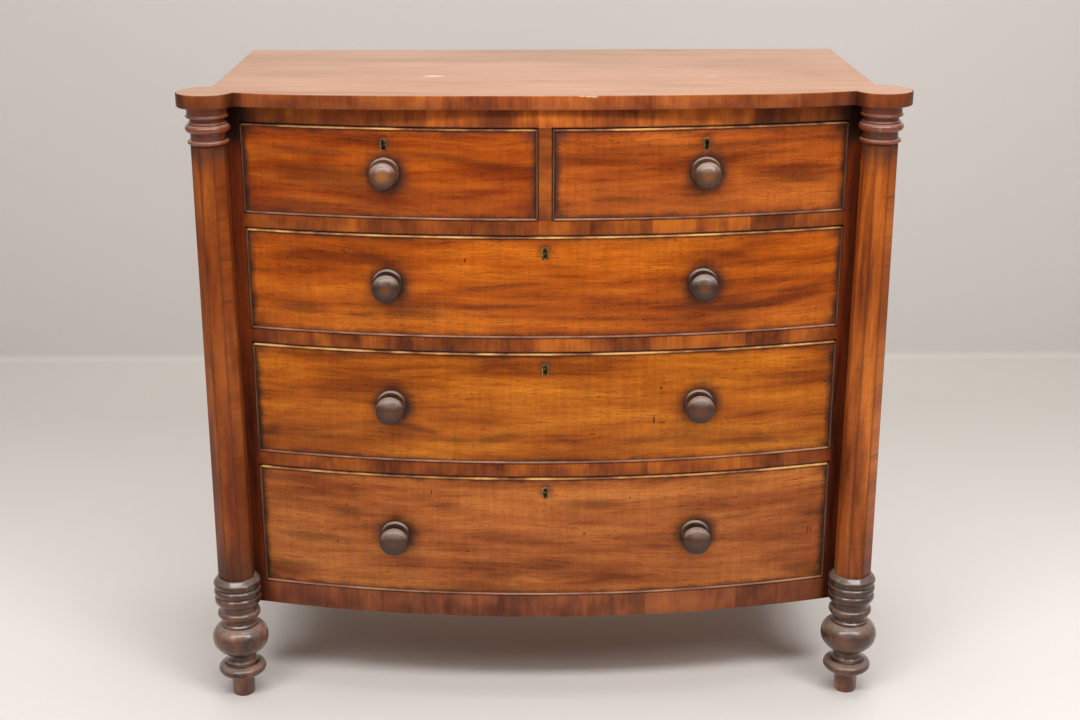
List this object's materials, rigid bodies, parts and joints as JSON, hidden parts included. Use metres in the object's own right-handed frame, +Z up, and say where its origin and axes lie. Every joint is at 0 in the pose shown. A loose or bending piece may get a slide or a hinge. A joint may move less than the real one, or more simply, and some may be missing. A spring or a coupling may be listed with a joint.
{
  "type": "bow front chest of drawers",
  "caption": "Bow-front chest of drawers with cock-beaded drawers, turned wooden knobs, octagonal corner columns and turned peg feet.",
  "frame": {"origin": "on the floor, in the middle of the chest's overall width and depth with its drawers closed", "axes": "+X to the right of someone facing the drawers, +Y towards the back, +Z up"},
  "size_m": [1.1668, 0.5404, 1.0671],
  "materials": {
    "polished_mahogany": "french polished, satin",
    "crossbanded_veneer": "french polished, satin",
    "turned_mahogany": "dark polish, glossy",
    "pine": "bare, planed",
    "brass": "aged",
    "steel": "filed"
  },
  "bodies": {
    "carcass": {"top_board": "polished_mahogany", "side_panels": "polished_mahogany", "back_panel": "pine", "corner_posts": "crossbanded_veneer", "drawer_rails": "crossbanded_veneer", "bottom_rail": "crossbanded_veneer", "centre_muntin": "crossbanded_veneer", "drawer_runners": "pine", "dustboards": "pine", "drawer_stops": "pine", "columns": "polished_mahogany", "capitals": "turned_mahogany", "column_bases": "turned_mahogany", "turned_feet": "turned_mahogany", "rear_foot_blocks": "pine"},
    "left_short_drawer": {"left_short_front": "polished_mahogany", "left_short_sides": "pine", "left_short_back": "pine", "left_short_bottom": "pine", "left_short_cock_bead": "turned_mahogany", "left_short_knob": "turned_mahogany", "left_short_lock": "brass", "left_short_escutcheon": "brass"},
    "left_short_bolt": {"left_short_lock_bolt": "steel"},
    "right_short_drawer": {"right_short_front": "polished_mahogany", "right_short_sides": "pine", "right_short_back": "pine", "right_short_bottom": "pine", "right_short_cock_bead": "turned_mahogany", "right_short_knob": "turned_mahogany", "right_short_lock": "brass", "right_short_escutcheon": "brass"},
    "right_short_bolt": {"right_short_lock_bolt": "steel"},
    "upper_long_drawer": {"upper_long_front": "polished_mahogany", "upper_long_sides": "pine", "upper_long_back": "pine", "upper_long_bottom": "pine", "upper_long_cock_bead": "turned_mahogany", "upper_long_knobs": "turned_mahogany", "upper_long_lock": "brass", "upper_long_escutcheon": "brass"},
    "upper_long_bolt": {"upper_long_lock_bolt": "steel"},
    "middle_long_drawer": {"middle_long_front": "polished_mahogany", "middle_long_sides": "pine", "middle_long_back": "pine", "middle_long_bottom": "pine", "middle_long_cock_bead": "turned_mahogany", "middle_long_knobs": "turned_mahogany", "middle_long_lock": "brass", "middle_long_escutcheon": "brass"},
    "middle_long_bolt": {"middle_long_lock_bolt": "steel"},
    "lower_long_drawer": {"lower_long_front": "polished_mahogany", "lower_long_sides": "pine", "lower_long_back": "pine", "lower_long_bottom": "pine", "lower_long_cock_bead": "turned_mahogany", "lower_long_knobs": "turned_mahogany", "lower_long_lock": "brass", "lower_long_escutcheon": "brass"},
    "lower_long_bolt": {"lower_long_lock_bolt": "steel"}
  },
  "joints": [
    {"name": "left_short_drawer_slide", "type": "slide", "parent": "carcass", "child": "left_short_drawer", "axis": [0, -1, 0], "range_m": [0, 0.33]},
    {"name": "left_short_bolt_throw", "type": "slide", "parent": "left_short_drawer", "child": "left_short_bolt", "axis": [0, 0, 1], "range_m": [0, 0.008]},
    {"name": "right_short_drawer_slide", "type": "slide", "parent": "carcass", "child": "right_short_drawer", "axis": [0, -1, 0], "range_m": [0, 0.33]},
    {"name": "right_short_bolt_throw", "type": "slide", "parent": "right_short_drawer", "child": "right_short_bolt", "axis": [0, 0, 1], "range_m": [0, 0.008]},
    {"name": "upper_long_drawer_slide", "type": "slide", "parent": "carcass", "child": "upper_long_drawer", "axis": [0, -1, 0], "range_m": [0, 0.33]},
    {"name": "upper_long_bolt_throw", "type": "slide", "parent": "upper_long_drawer", "child": "upper_long_bolt", "axis": [0, 0, 1], "range_m": [0, 0.008]},
    {"name": "middle_long_drawer_slide", "type": "slide", "parent": "carcass", "child": "middle_long_drawer", "axis": [0, -1, 0], "range_m": [0, 0.33]},
    {"name": "middle_long_bolt_throw", "type": "slide", "parent": "middle_long_drawer", "child": "middle_long_bolt", "axis": [0, 0, 1], "range_m": [0, 0.008]},
    {"name": "lower_long_drawer_slide", "type": "slide", "parent": "carcass", "child": "lower_long_drawer", "axis": [0, -1, 0], "range_m": [0, 0.33]},
    {"name": "lower_long_bolt_throw", "type": "slide", "parent": "lower_long_drawer", "child": "lower_long_bolt", "axis": [0, 0, 1], "range_m": [0, 0.008]}
  ]
}
